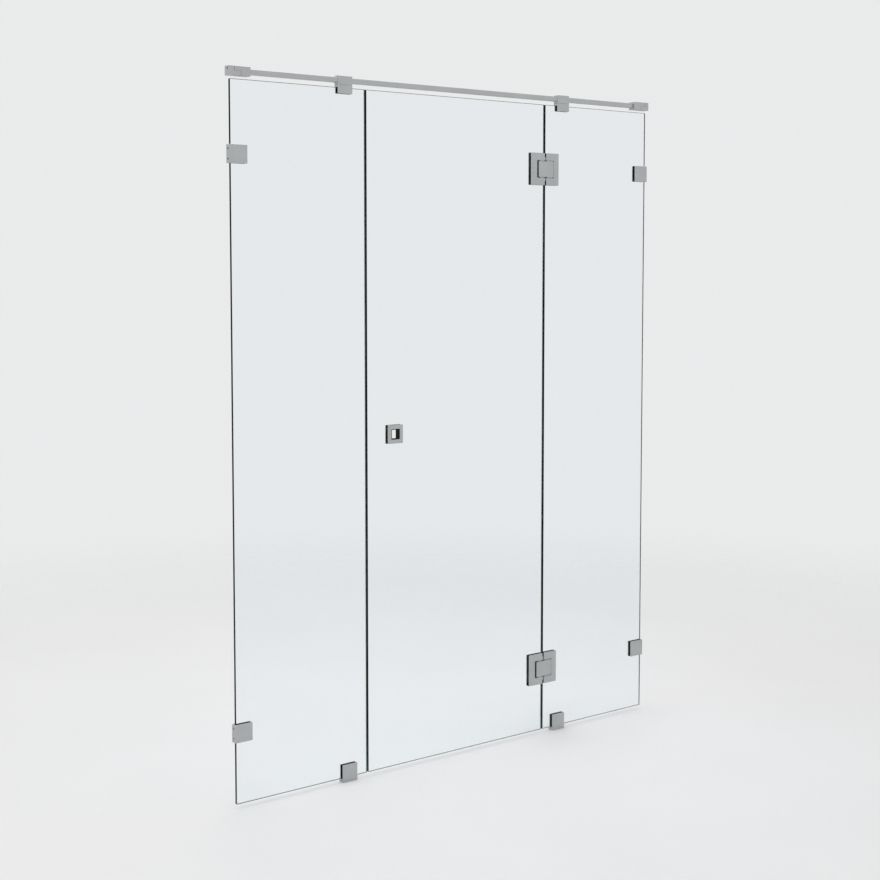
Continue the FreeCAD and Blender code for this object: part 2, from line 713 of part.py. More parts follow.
def hinge_block():
    """The block round the pin, proud of both leaves, with a lip and ears behind them."""
    half = BLOCK_HEIGHT / 2
    face = OUTER + BLOCK_PROUD
    core = plate(-BLOCK_DOOR_SIDE, BLOCK_FIXED_SIDE, -half, half, -face, face, PLATE_CORNER)
    core = core.makeChamfer(BLOCK_CHAMFER, edges_in_face(core, -face) + edges_in_face(core, face))
    ears = block(EAR_START, BLOCK_FIXED_SIDE, -INNER, ARM_BACK, -ARM_END, ARM_END)
    lip_end = ARM_START - ARM_RUN
    lip = block(-BLOCK_DOOR_SIDE, BLOCK_FIXED_SIDE, -HALF_GLASS, HALF_GLASS, -lip_end, lip_end)
    cuts = [axis_rod(PIN_R + PIN_PLAY + BUSH_WALL + PIN_PLAY, -half - PAST, half + PAST)]
    for sign in arm_signs():
        cuts.append(axis_rod(BUSH_FLANGE_R + PIN_PLAY, *arm_span(sign, half, ARM_START)))
        start = FreeCAD.Vector(HINGE_SCREW_OFFSET, -OUTER, sign * HINGE_SCREW_Z)
        cuts.append(rod(HINGE_BOSS_R + HINGE_BOSS_PLAY, start, INWARD, 2 * OUTER))
    return core.fuse([ears, lip]).removeSplitter().cut(cuts)


def hinge_bush(sign):
    """A flanged bush in one end of the block, which also carries the thrust."""
    half = BLOCK_HEIGHT / 2
    body_z = arm_span(sign, half - BUSH_LENGTH, half)
    flange_z = arm_span(sign, half, ARM_START - ARM_RUN)
    bore = axis_rod(PIN_R + PIN_PLAY, -LEAF_HEIGHT, LEAF_HEIGHT)
    body = axis_rod(PIN_R + PIN_PLAY + BUSH_WALL, *body_z)
    return body.fuse(axis_rod(BUSH_FLANGE_R, *flange_z)).cut(bore)


def hinge_pin():
    end = ARM_END - PIN_END_SETBACK
    pin = axis_rod(PIN_R, -end, end)
    return pin.makeChamfer(PIN_R / 5, [edge for edge in pin.Edges if abs(edge.BoundBox.ZLength) < FLAT])


def pin_set_screw(sign):
    start = FreeCAD.Vector(0, ARM_BACK, sign * HINGE_SCREW_Z)
    return pointed(grub_screw(PIN_SET_SCREW_R, ARM_BACK - AXIS_Y - PIN_R), start, OUTWARD)


def leaf_gaskets(x0, x1, notch_x0, notch_x1):
    half = LEAF_HEIGHT / 2
    return gasket_pair(x0, x1, -half, half, hinge_notch(notch_x0, notch_x1, 0))


def hinge():
    past = LEAF_REACH + NOTCH_CORNER
    screws = {}
    for name, x in (("door", -HINGE_SCREW_OFFSET), ("fixed", HINGE_SCREW_OFFSET)):
        screws[name] = [
            rear_screw(x, sign * HINGE_SCREW_Z, HINGE_SCREW_R, HINGE_SCREW_HEAD_R)
            for sign in arm_signs()
        ]
    return {
        "block": [hinge_block()],
        "bushes": [hinge_bush(sign) for sign in arm_signs()],
        "fixed_leaf": [fixed_leaf()],
        "fixed_rear": [fixed_rear_leaf()],
        "fixed_gaskets": leaf_gaskets(DOOR_GAP, LEAF_REACH, -past, FIXED_NOTCH_REACH),
        "fixed_screws": screws["fixed"],
        "door_leaf": [door_leaf()],
        "door_rear": [door_rear_leaf()],
        "door_gaskets": leaf_gaskets(-LEAF_REACH, 0, -DOOR_NOTCH_REACH, past),
        "door_screws": screws["door"],
        "pin": [hinge_pin()],
        "pin_set_screws": [pin_set_screw(sign) for sign in arm_signs()],
    }


# Finger pull


def square_opening(size, y0, y1, corner):
    half = size / 2
    return plate(PULL_X - half, PULL_X + half, PULL_Z - half, PULL_Z + half, y0, y1, corner)


def pull_screw_places():
    d = PULL_SCREW_OFFSET
    return [(PULL_X + dx, PULL_Z + dz) for dx, dz in ((d, 0), (-d, 0), (0, d), (0, -d))]


def ring_span():
    half = PULL_SIZE / 2
    return PULL_X - half, PULL_X + half, PULL_Z - half, PULL_Z + half


def pull_outer_ring():
    """The outside ring, with four threaded bosses that pass through the glass."""
    ring = face_plate(*ring_span(), PULL_CORNER)
    ring = ring.cut(square_opening(PULL_OPENING, -2 * OUTER, 0, PULL_CORNER))
    for x, z in pull_screw_places():
        ring = ring.fuse(boss(x, z, PULL_BOSS_R)).cut(boss_thread(x, z, PULL_SCREW_R))
    return ring


def pull_inner_ring():
    ring = rear_plate(*ring_span(), PULL_CORNER)
    ring = ring.cut(square_opening(PULL_OPENING, 0, 2 * OUTER, PULL_CORNER))
    for x, z in pull_screw_places():
        ring = ring.cut(rear_screw_hole(x, z, PULL_SCREW_R, PULL_SCREW_HEAD_R))
    return ring


def pull_liner():
    """A moulded insert: round in the glass, square through both rings, open in the middle."""
    reach = OUTER - LINER_SETBACK
    start = FreeCAD.Vector(PULL_X, -INNER, PULL_Z)
    liner = rod(PULL_GLASS_HOLE_R - LINER_HOLE_PLAY, start, INWARD, 2 * INNER)
    tube_size = PULL_OPENING - 2 * LINER_PLAY
    liner = liner.fuse(square_opening(tube_size, -reach, reach, PULL_CORNER))
    bore_size = tube_size - 2 * LINER_WALL
    cuts = [square_opening(bore_size, -2 * OUTER, 2 * OUTER, PULL_CORNER / 2)]
    for x, z in pull_screw_places():
        start = FreeCAD.Vector(x, -OUTER, z)
        cuts.append(rod(PULL_BOSS_R + LINER_HOLE_PLAY, start, INWARD, 2 * OUTER))
    return liner.cut(cuts)


def pull_gaskets():
    return gasket_pair(*ring_span(), glass_hole(PULL_X, PULL_Z, PULL_GLASS_HOLE_R))


def pull_screws():
    return [rear_screw(x, z, PULL_SCREW_R, PULL_SCREW_HEAD_R) for x, z in pull_screw_places()]


# Assembly: every node is one piece, or a group of like pieces


def fixed_screen_nodes():
    nodes = {"stabiliser_bar": [stabiliser_bar()]}
    nodes["right_fixed_glass"] = [fixed_glass("right")]
    nodes["left_fixed_glass"] = [fixed_glass("left")]
    groups = {
        "wall_clamp_gaskets": [],
        "wall_clamp_screws": [],
        "wall_clamp_bushings": [],
        "floor_clamp_gaskets": [],
        "floor_clamp_screws": [],
        "floor_clamp_bushings": [],
        "floor_setting_pads": [],
        "bar_socket_set_screws": [],
        "bar_lap_screws": [],
        "bar_sleeve_set_screws": [],
        "clip_joining_screws": [],
        "clip_grub_screws": [],
        "clip_gaskets": [],
    }
    for side in SIDES:
        for level, z in LEVELS.items():
            clamp = wall_clamp(z)
            name = f"{level}_{side}_wall_clamp"
            nodes[name] = [on_side(clamp["body"], side)]
            nodes[f"{name}_back_plate"] = [on_side(clamp["back_plate"], side)]
            groups["wall_clamp_gaskets"] += [on_side(piece, side) for piece in clamp["gaskets"]]
            groups["wall_clamp_screws"].append(on_side(clamp["screw"], side))
            groups["wall_clamp_bushings"].append(on_side(clamp["bushing"], side))
        clamp = floor_clamp()
        name = f"{side}_floor_clamp"
        nodes[name] = [on_side(clamp["body"], side)]
        nodes[f"{name}_back_plate"] = [on_side(clamp["back_plate"], side)]
        groups["floor_clamp_gaskets"] += [on_side(piece, side) for piece in clamp["gaskets"]]
        groups["floor_clamp_screws"].append(on_side(clamp["screw"], side))
        groups["floor_clamp_bushings"].append(on_side(clamp["bushing"], side))
        groups["floor_setting_pads"].append(on_side(clamp["pad"], side))
        nodes[f"{side}_bar_wall_base"] = [on_side(bar_wall_base(), side)]
        nodes[f"{side}_bar_socket"] = [on_side(bar_socket(), side)]
        nodes[f"{side}_bar_sleeve"] = [on_side(bar_sleeve(), side)]
        nodes[f"{side}_glass_clip"] = [on_side(glass_clip(), side)]
        groups["bar_socket_set_screws"].append(on_side(bar_socket_set_screw(), side))
        groups["bar_lap_screws"].append(on_side(bar_lap_screw(), side))
        groups["bar_sleeve_set_screws"].append(on_side(bar_sleeve_set_screw(), side))
        groups["clip_joining_screws"] += [on_side(piece, side) for piece in clip_joining_screws()]
        groups["clip_grub_screws"] += [on_side(piece, side) for piece in clip_grub_screws()]
        groups["clip_gaskets"].append(on_side(clip_gasket(), side))
    nodes.update(groups)
    return nodes


def hinge_nodes():
    single = {
        "block": "hinge_block",
        "fixed_leaf": "fixed_leaf",
        "fixed_rear": "fixed_leaf_back_plate",
        "door_leaf": "door_leaf",
        "door_rear": "door_leaf_back_plate",
        "pin": "hinge_pin",
    }
    grouped = {
        "bushes": "hinge_bushes",
        "fixed_gaskets": "fixed_leaf_gaskets",
        "fixed_screws": "fixed_leaf_screws",
        "door_gaskets": "door_leaf_gaskets",
        "door_screws": "door_leaf_screws",
        "pin_set_screws": "hinge_pin_set_screws",
    }
    nodes = {name: [] for name in grouped.values()}
    pieces = hinge()
    for level, z in HINGE_LEVELS.items():
        for key, name in single.items():
            nodes[f"{level}_{name}"] = [moved(piece, AXIS_X, 0, z) for piece in pieces[key]]
        for key, name in grouped.items():
            nodes[name] += [moved(piece, AXIS_X, 0, z) for piece in pieces[key]]
    return nodes


def door_nodes():
    return {
        "door_glass": [door_glass()],
        "pull_outer_ring": [pull_outer_ring()],
        "pull_inner_ring": [pull_inner_ring()],
        "pull_liner": [pull_liner()],
        "pull_gaskets": pull_gaskets(),
        "pull_screws": pull_screws(),
    }


def write_nodes(nodes):
    os.makedirs("parts", exist_ok=True)
    for name, pieces in nodes.items():
        solids = [solid for piece in pieces for solid in piece.Solids]
        shape = solids[0] if len(solids) == 1 else Part.makeCompound(solids)
        shape.exportStep(f"parts/{name}.step")
        print(name, len(solids), all(solid.isValid() for solid in solids))


write_nodes({**fixed_screen_nodes(), **hinge_nodes(), **door_nodes()})
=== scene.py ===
# %% [markdown]
# # A frameless glass shower front
# Three panes of clear glass stand in one plane: a fixed pane, a door and another fixed pane. Steel
# clamps, two plate hinges and a bar overhead hold them, and a finger pull opens the door. The
# shapes could be modelled here again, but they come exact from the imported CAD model, which is
# loaded as a fixed frame. So this lesson is about finishes, light and the camera.

# %% Load the frame
import bpy
import json
import math
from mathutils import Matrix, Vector

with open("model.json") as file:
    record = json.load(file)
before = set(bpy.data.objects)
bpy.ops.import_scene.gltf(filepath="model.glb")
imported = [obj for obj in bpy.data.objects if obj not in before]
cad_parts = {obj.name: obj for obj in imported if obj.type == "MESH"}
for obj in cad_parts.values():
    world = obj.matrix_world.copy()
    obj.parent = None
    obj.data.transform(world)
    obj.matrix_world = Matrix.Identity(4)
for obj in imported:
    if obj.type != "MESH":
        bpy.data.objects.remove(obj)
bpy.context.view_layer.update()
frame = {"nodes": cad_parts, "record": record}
bpy.ops.object.select_all(action="DESELECT")
nodes = frame["nodes"]

# %% [markdown]
# ## Camera
# The front is seen from the left, at about head height. A level camera keeps upright edges
# upright, but it would need a lens shift of a fifth of the picture, and views from other sides
# keep that shift and would lose the top of the part. A pitched camera needs no shift, but the
# edges lean. So a small shift and a slight pitch share the work. The focal length is given in
# picture pixels and turned into millimetres of lens.

# %% Make the camera
PICTURE_SIDE_PX = 880
FOCAL_PX = 1581.0
SENSOR_MM = 36
CAMERA_PLACE = (-3.0335, -3.6890, 1.5060)
CAMERA_TURN_DEG = 38.769
CAMERA_PITCH_DEG = 4.288
CAMERA_SHIFT_Y = -0.066

bpy.ops.object.camera_add(location=CAMERA_PLACE)
camera = bpy.context.object
camera.name = "photo_camera"
camera.rotation_euler = (math.radians(90 - CAMERA_PITCH_DEG), 0, math.radians(-CAMERA_TURN_DEG))
camera.data.sensor_width = SENSOR_MM
camera.data.lens = FOCAL_PX * SENSOR_MM / PICTURE_SIDE_PX
camera.data.shift_y = CAMERA_SHIFT_Y
bpy.context.scene.camera = camera
print("lens:", round(camera.data.lens, 2), "mm")

# %% [markdown]
# ## Helpers for materials
# Every finish is a small node tree. It could be drawn by hand in the shader editor, but several
# finishes share the same steps, so short helpers build the trees and keep them readable.


# %% Helpers that build a tree
def new_material(name):
    """An empty node material with its output, ready for a shader."""
    material = bpy.data.materials.new(name)
    material.use_nodes = True
    tree = material.node_tree
    tree.nodes.clear()
    tree.nodes.new("ShaderNodeOutputMaterial")
    return material, tree


def add_node(tree, kind, **settings):
    """A new node of a kind, with its settings."""
    node = tree.nodes.new(kind)
    for key, value in settings.items():
        setattr(node, key, value)
    return node


def finish_with(tree, shader_socket):
    """Joins a shader to the output of its material."""
    output = tree.nodes["Material Output"]
    tree.links.new(shader_socket, output.inputs["Surface"])


print("tree helpers ready")

# %% [markdown]
# ## Helpers for patterns
# No real surface has one flat colour, so every finish wanders a little with a noise pattern. An
# image could do that, but it would have to be unwrapped onto every piece. A noise reads Object
# coordinates instead, which stay with a piece when the door swings. It seldom leaves the middle of
# its range, so that middle is what gets spread out.

# %% Helpers that make patterns
NOISE_LOW = 0.3
NOISE_HIGH = 0.7


def object_noise(tree, scale, detail, stretch=(1, 1, 1)):
    """A noise pattern on Object coordinates; stretch draws it out along an axis."""
    place = add_node(tree, "ShaderNodeTexCoord")
    mapping = add_node(tree, "ShaderNodeMapping")
    mapping.inputs["Scale"].default_value = stretch
    noise = add_node(tree, "ShaderNodeTexNoise")
    noise.inputs["Scale"].default_value = scale
    noise.inputs["Detail"].default_value = detail
    tree.links.new(place.outputs["Object"], mapping.inputs["Vector"])
    tree.links.new(mapping.outputs["Vector"], noise.inputs["Vector"])
    return noise.outputs["Fac"]


def ramp(tree, value_socket, stops):
    """A colour ramp from (position, colour) stops."""
    node = add_node(tree, "ShaderNodeValToRGB")
    elements = node.color_ramp.elements
    for position, _ in stops[2:]:
        elements.new(position)
    for element, (position, colour) in zip(elements, stops):
        element.position = position
        element.color = (*colour, 1)
    tree.links.new(value_socket, node.inputs["Fac"])
    return node.outputs["Color"]


def wander(tree, noise_socket, dark, light):
    """A colour that wanders from dark to light with a noise pattern."""
    return ramp(tree, noise_socket, [(NOISE_LOW, dark), (NOISE_HIGH, light)])


def spread(tree, noise_socket, span):
    """A number that wanders over a span with a noise pattern."""
    node = add_node(tree, "ShaderNodeMapRange")
    node.inputs["From Min"].default_value = NOISE_LOW
    node.inputs["From Max"].default_value = NOISE_HIGH
    node.inputs["To Min"].default_value = span[0]
    node.inputs["To Max"].default_value = span[1]
    tree.links.new(noise_socket, node.inputs["Value"])
    return node.outputs["Result"]


print("pattern helpers ready")

# %% [markdown]
# ## Satin steel
# The fittings are stainless steel, ground with a fine abrasive belt, so they look flat grey from
# afar and show hair-fine lines along the belt close up. A picture of ground steel could give those
# lines, but every piece would have to be unwrapped for it. A noise that is drawn out along X gives
# them as well, at any distance. It moves the colour, the roughness and a very shallow bump
# together, and a second, broad noise keeps large faces from looking printed.

# %% Grain of ground steel
GRAIN_ALONG_X = (6, 900, 900)
GRAIN_SCALE = 4
GRAIN_DETAIL = 4
GRAIN_SHARE = 0.6
CLOUD_SCALE = 14
CLOUD_DETAIL = 2
CLOUD_SHARE = 0.4


def grain_and_cloud(tree, stretch):
    """A fine grain by itself, and the grain with a broad cloud laid over it."""
    grain = object_noise(tree, GRAIN_SCALE, GRAIN_DETAIL, stretch)
    cloud = object_noise(tree, CLOUD_SCALE, CLOUD_DETAIL)
    weak_cloud = add_node(tree, "ShaderNodeMath", operation="MULTIPLY")
    weak_cloud.inputs[1].default_value = CLOUD_SHARE
    both = add_node(tree, "ShaderNodeMath", operation="MULTIPLY_ADD")
    both.inputs[1].default_value = GRAIN_SHARE
    tree.links.new(cloud, weak_cloud.inputs[0])
    tree.links.new(grain, both.inputs[0])
    tree.links.new(weak_cloud.outputs[0], both.inputs[2])
    return grain, both.outputs[0]


print("grain:", GRAIN_ALONG_X)


# %% Relief of a pattern
def bump(tree, height_socket, strength, height):
    """A surface direction that follows a pattern of the given height in metres."""
    node = add_node(tree, "ShaderNodeBump")
    node.inputs["Strength"].default_value = strength
    node.inputs["Distance"].default_value = height
    tree.links.new(height_socket, node.inputs["Height"])
    return node.outputs["Normal"]


print("relief helper ready")

# %% [markdown]
# ## Painted shade in the grooves of the hinges
# Deep in the grooves of a hinge little light reaches, so their shade is painted into the steel's
# colour. The grooves could be given a material of their own, face by face, but the depth of a point
# says the same thing with no selecting, so the hinges get a second version of the steel, whose
# colour is painted darker below the depth of the plates.


# %% Depth of a point
def depth_and_height(tree):
    """The distance of a point from the mid-plane of the glass, and its height above the floor."""
    place = add_node(tree, "ShaderNodeTexCoord")
    split = add_node(tree, "ShaderNodeSeparateXYZ")
    distance = add_node(tree, "ShaderNodeMath", operation="ABSOLUTE")
    tree.links.new(place.outputs["Object"], split.inputs[0])
    tree.links.new(split.outputs["Y"], distance.inputs[0])
    return distance.outputs[0], split.outputs["Z"]


def smooth_step(tree, value_socket, start, end):
    """A number that rises smoothly from 0 at start to 1 at end."""
    node = add_node(tree, "ShaderNodeMapRange", interpolation_type="SMOOTHSTEP")
    node.inputs["From Min"].default_value = start
    node.inputs["From Max"].default_value = end
    tree.links.new(value_socket, node.inputs["Value"])
    return node.outputs["Result"]


print("depth helpers ready")

# %% Painted shade in the grooves
# Painted shade: deeper than these depths from the mid-plane the steel is painted darker, where
# little light reaches.
SHADE_START_DEPTH = 0.0070
SHADE_FULL_DEPTH = 0.0062
GROOVE_SHADE_TONE = (0.5, 0.5, 0.5, 1)


def painted_groove_shade(tree, colour_socket):
    """Darkens a colour below the depth of the plates, as painted shade in the grooves."""
    distance, _ = depth_and_height(tree)
    tint = add_node(tree, "ShaderNodeMixRGB", blend_type="MULTIPLY")
    tint.inputs["Color2"].default_value = GROOVE_SHADE_TONE
    tree.links.new(smooth_step(tree, distance, SHADE_START_DEPTH, SHADE_FULL_DEPTH), tint.inputs["Fac"])
    tree.links.new(colour_socket, tint.inputs["Color1"])
    return tint.outputs["Color"]


# The depth printed here is where the painted groove shade begins.
print("machined skin below:", SHADE_START_DEPTH, "m")

# %% [markdown]
# With the grain and the painted groove shade at hand, the steel itself is one shader. A Glossy
# shader could draw a metal too, but the Principled shader is the one that other programs read. Its
# roughness wanders with the grain between a smoother and a duller value, so a highlight breaks up
# along the lines.

# %% Satin steel, plain and with painted shade in its grooves
GRAIN_BUMP = 0.15
GRAIN_HEIGHT = 0.00003
STEEL_DARK = (0.426, 0.437, 0.441)
STEEL_LIGHT = (0.514, 0.527, 0.531)
STEEL_ROUGHNESS = (0.30, 0.42)


def steel(name, dark, light, roughness, stretch, shade_in_grooves=False):
    """A metal with a grain, and with painted shade in its grooves where it has them."""
    material, tree = new_material(name)
    shader = add_node(tree, "ShaderNodeBsdfPrincipled")
    shader.inputs["Metallic"].default_value = 1.0
    grain, both = grain_and_cloud(tree, stretch)
    colour = wander(tree, both, dark, light)
    # Painted shade: the hinge steel is darkened in its grooves.
    if shade_in_grooves:
        colour = painted_groove_shade(tree, colour)
    tree.links.new(colour, shader.inputs["Base Color"])
    tree.links.new(spread(tree, grain, roughness), shader.inputs["Roughness"])
    tree.links.new(bump(tree, grain, GRAIN_BUMP, GRAIN_HEIGHT), shader.inputs["Normal"])
    finish_with(tree, shader.outputs["BSDF"])
    return material


ground = (STEEL_DARK, STEEL_LIGHT, STEEL_ROUGHNESS, GRAIN_ALONG_X)
finishes = {
    "satin_steel": steel("satin_steel", *ground),
    "hinge_steel_groove_shade": steel("hinge_steel_groove_shade", *ground, shade_in_grooves=True),
}
print("made", sorted(finishes))

# %% [markdown]
# ## Plain steel fasteners
# Screws and pins are turned, not ground. They could share the satin steel, but its long lines
# would run straight across their round heads. So the same function makes them with an even noise,
# and with a slightly brighter, smoother metal.

# %% Fastener steel
EVEN_GRAIN = (60, 60, 60)
FASTENER_DARK = (0.452, 0.462, 0.466)
FASTENER_LIGHT = (0.57, 0.58, 0.584)
FASTENER_ROUGHNESS = (0.24, 0.36)

turned = (FASTENER_DARK, FASTENER_LIGHT, FASTENER_ROUGHNESS, EVEN_GRAIN)
finishes["fastener_steel"] = steel("fastener_steel", *turned)
print("made", sorted(finishes))

# %% [markdown]
# ## Rubber and plastics
# The gaskets are matt black rubber, the insert of the finger pull is black moulded plastic with a
# slight sheen, and the bushes are dark grey acetal. Three separate materials would repeat the same
# nodes, so one function covers them: a colour that drifts a little, a roughness that follows a fine
# noise and a bump as shallow as a moulded skin. The specular level is low, because soft rubber and
# a matt skin mirror little of their pale surroundings.

# %% Rubber, moulded plastic and acetal
MATT_SPECULAR = 0.1
TEXTURE_DETAIL = 3
TEXTURE_BUMP = 0.3
COLOUR_DRIFT_SCALE = 25
COLOUR_DRIFT_DETAIL = 2
BLACK = (0.004, 0.004, 0.0045)
SOFT_BLACK = (0.007, 0.007, 0.0075)
ACETAL = (0.022, 0.022, 0.023)
PALE_ACETAL = (0.032, 0.032, 0.033)


def moulded(name, dark, light, roughness, texture_scale, texture_height):
    """A matt moulded skin with a fine texture."""
    material, tree = new_material(name)
    shader = add_node(tree, "ShaderNodeBsdfPrincipled")
    shader.inputs["Specular IOR Level"].default_value = MATT_SPECULAR
    texture = object_noise(tree, texture_scale, TEXTURE_DETAIL)
    drift = object_noise(tree, COLOUR_DRIFT_SCALE, COLOUR_DRIFT_DETAIL)
    tree.links.new(wander(tree, drift, dark, light), shader.inputs["Base Color"])
    tree.links.new(spread(tree, texture, roughness), shader.inputs["Roughness"])
    tree.links.new(bump(tree, texture, TEXTURE_BUMP, texture_height), shader.inputs["Normal"])
    finish_with(tree, shader.outputs["BSDF"])
    return material


finishes["black_rubber"] = moulded(
    "black_rubber", BLACK, SOFT_BLACK,
    roughness=(0.62, 0.78), texture_scale=2500, texture_height=0.00004,
)
finishes["black_plastic"] = moulded(
    "black_plastic", BLACK, SOFT_BLACK,
    roughness=(0.38, 0.5), texture_scale=1800, texture_height=0.00002,
)
finishes["bearing_plastic"] = moulded(
    "bearing_plastic", ACETAL, PALE_ACETAL,
    roughness=(0.42, 0.55), texture_scale=1500, texture_height=0.00002,
)
print("made", sorted(finishes))

# %% [markdown]
# ## Clear glass
# A pane has two looks. Its faces are clear and bend the view a little. Its polished edges look
# almost black, because light that enters there is lost along the width of the pane, and this shade
# is painted into their colour. Near the floor they are painted lighter, to teal, as a painted glow
# of the floor's light inside the glass. Edges and faces could have a material each, but a pane is
# one piece with one slot, so both are one material: the faces lie at half the thickness from the
# mid-plane, and the distance from that plane tells them from the edges.

# %% Polished edges
# Painted light: below this height the edge colour is painted lighter, to teal, as a glow of the
# floor's light in the glass; higher up the near-black is painted shade.
PAINTED_GLOW_HEIGHT = 0.18
EDGE_GREEN_STOP = 0.35
EDGE_PAINTED_FLOOR_GLOW = (0.035, 0.085, 0.09)
EDGE_GREEN = (0.008, 0.02, 0.02)
EDGE_PAINTED_SHADE = (0.002, 0.003, 0.0035)
EDGE_GLOSS = 0.06
EDGE_ROUGHNESS = (0.12, 0.22)
GRINDING_ALONG_Z = (900, 900, 8)
GRINDING_SCALE = 3
GRINDING_DETAIL = 3


def polished_edge(tree, height):
    """A ground and polished edge, painted dark above as shade and painted teal near the floor as a
    glow of its light.
    """
    shader = add_node(tree, "ShaderNodeBsdfPrincipled")
    shader.inputs["Specular IOR Level"].default_value = EDGE_GLOSS
    fade = add_node(tree, "ShaderNodeMath", operation="DIVIDE")
    fade.inputs[1].default_value = PAINTED_GLOW_HEIGHT
    tree.links.new(height, fade.inputs[0])
    stops = [(0.0, EDGE_PAINTED_FLOOR_GLOW), (EDGE_GREEN_STOP, EDGE_GREEN), (1.0, EDGE_PAINTED_SHADE)]
    tree.links.new(ramp(tree, fade.outputs[0], stops), shader.inputs["Base Color"])
    grinding = object_noise(tree, GRINDING_SCALE, GRINDING_DETAIL, GRINDING_ALONG_Z)
    tree.links.new(spread(tree, grinding, EDGE_ROUGHNESS), shader.inputs["Roughness"])
    return shader.outputs["BSDF"]


# The height printed here is where the painted floor glow fades out.
print("edges turn teal below:", PAINTED_GLOW_HEIGHT, "m")

# %% [markdown]
# The faces are clear, with a faint blue-green tint that drifts over the pane. A Glass shader would
# draw them, but the Principled shader with full transmission looks the same, and other programs
# read it. The faces are perfectly smooth, because any roughness would frost the view.

# %% Clear faces
GLASS_IOR = 1.5
GLASS_TINT = (0.962, 0.986, 0.998)
GLASS_TINT_DEEP = (0.952, 0.981, 0.996)
TINT_DRIFT_SCALE = 2
TINT_DRIFT_DETAIL = 2


def clear_face(tree):
    """Smooth clear glass with a faint tint."""
    shader = add_node(tree, "ShaderNodeBsdfPrincipled")
    shader.inputs["Transmission Weight"].default_value = 1.0
    shader.inputs["IOR"].default_value = GLASS_IOR
    shader.inputs["Roughness"].default_value = 0.0
    drift = object_noise(tree, TINT_DRIFT_SCALE, TINT_DRIFT_DETAIL)
    tree.links.new(wander(tree, drift, GLASS_TINT_DEEP, GLASS_TINT), shader.inputs["Base Color"])
    return shader.outputs["BSDF"]


print("glass tint:", GLASS_TINT)

# %% [markdown]
# True glass would throw a dark shadow here, because a renderer rarely finds a lamp through two
# bent surfaces. Caustics would solve that with a great many samples. It is cheaper to let rays
# towards a lamp meet a plain transparent shader, so that the floor behind the panes stays bright.
# A file for other programs can't hold such a mix and keeps its first shader, so the clear faces
# come first in it.


# %% Open to lamps
def mix_shaders(tree, factor, first, second):
    """Shows the first shader where the factor is 0 and the second where it is 1."""
    node = add_node(tree, "ShaderNodeMixShader")
    for socket, source in zip(node.inputs, (factor, first, second)):
        tree.links.new(source, socket)
    return node.outputs[0]


def open_to_lamps(tree, shader_socket):
    """Lets rays towards a lamp pass straight through; all others meet the shader."""
    clear = add_node(tree, "ShaderNodeBsdfTransparent")
    clear.inputs["Color"].default_value = (*GLASS_TINT, 1)
    rays = add_node(tree, "ShaderNodeLightPath")
    return mix_shaders(tree, rays.outputs["Is Shadow Ray"], shader_socket, clear.outputs["BSDF"])


print("glass is open to lamps")

# %% Glass with its edges
HALF_GLASS = 0.004
FACE_MARGIN = 0.00008


def clear_glass(name):
    """Clear faces, and polished edges on all that lies between them."""
    material, tree = new_material(name)
    distance, height = depth_and_height(tree)
    on_edge = add_node(tree, "ShaderNodeMath", operation="LESS_THAN")
    on_edge.inputs[1].default_value = HALF_GLASS - FACE_MARGIN
    tree.links.new(distance, on_edge.inputs[0])
    pane = mix_shaders(tree, on_edge.outputs[0], clear_face(tree), polished_edge(tree, height))
    finish_with(tree, open_to_lamps(tree, pane))
    return material


finishes["clear_glass"] = clear_glass("clear_glass")
print("made", sorted(finishes))

# %% [markdown]
# ## Dress the pieces
# Sixty pieces could be dressed by hand, one slot after the other. The record already says which
# finish each piece has, so a loop gives the finishes out from it, and the blocks and leaves of the
# hinges take the steel with painted shade in its grooves. A piece keeps its shape and its place:
# only its material slot changes.

# %% Give every piece its finish
slot_of = {part["node"]: part["material_slot"] for part in frame["record"]["subparts"]}
count = {}
for name, piece in nodes.items():
    finish = slot_of[name]
    # The blocks and leaves of the hinges take the steel with painted shade in its grooves.
    if finish == "satin_steel" and ("hinge_block" in name or "leaf" in name):
        finish = "hinge_steel_groove_shade"
    piece.data.materials.clear()
    piece.data.materials.append(finishes[finish])
    count[finish] = count.get(finish, 0) + 1
print("pieces by finish:", count)

# %% [markdown]
# ## Floor
# The floor is a pale disc that takes the soft shadow of the front. A large plane would end in a
# horizon line, and a curved backdrop would stand in the way of the views from behind. So the disc
# turns transparent towards its rim, and melts into the background from any side.

# %% Floor finish
FLOOR_RADIUS = 4.5
FLOOR_SOLID = 1.2
FLOOR_COLOUR = (0.82, 0.82, 0.825)
FLOOR_COLOUR_DEEP = (0.80, 0.80, 0.805)
FLOOR_ROUGHNESS = 0.6
FLOOR_DRIFT_SCALE = 1.5
FLOOR_DRIFT_DETAIL = 2


def fading_floor(name):
    """A matt pale floor that fades out between its solid middle and its rim."""
    material, tree = new_material(name)
    shader = add_node(tree, "ShaderNodeBsdfPrincipled")
    shader.inputs["Roughness"].default_value = FLOOR_ROUGHNESS
    drift = object_noise(tree, FLOOR_DRIFT_SCALE, FLOOR_DRIFT_DETAIL)
    tree.links.new(wander(tree, drift, FLOOR_COLOUR_DEEP, FLOOR_COLOUR), shader.inputs["Base Color"])
    place = add_node(tree, "ShaderNodeTexCoord")
    from_middle = add_node(tree, "ShaderNodeVectorMath", operation="LENGTH")
    tree.links.new(place.outputs["Object"], from_middle.inputs[0])
    gone = smooth_step(tree, from_middle.outputs["Value"], FLOOR_SOLID, FLOOR_RADIUS)
    away = add_node(tree, "ShaderNodeBsdfTransparent")
    finish_with(tree, mix_shaders(tree, gone, shader.outputs["BSDF"], away.outputs["BSDF"]))
    return material


print("floor fades from", FLOOR_SOLID, "to", FLOOR_RADIUS, "m")

# %% Floor disc
FLOOR_SIDES = 96

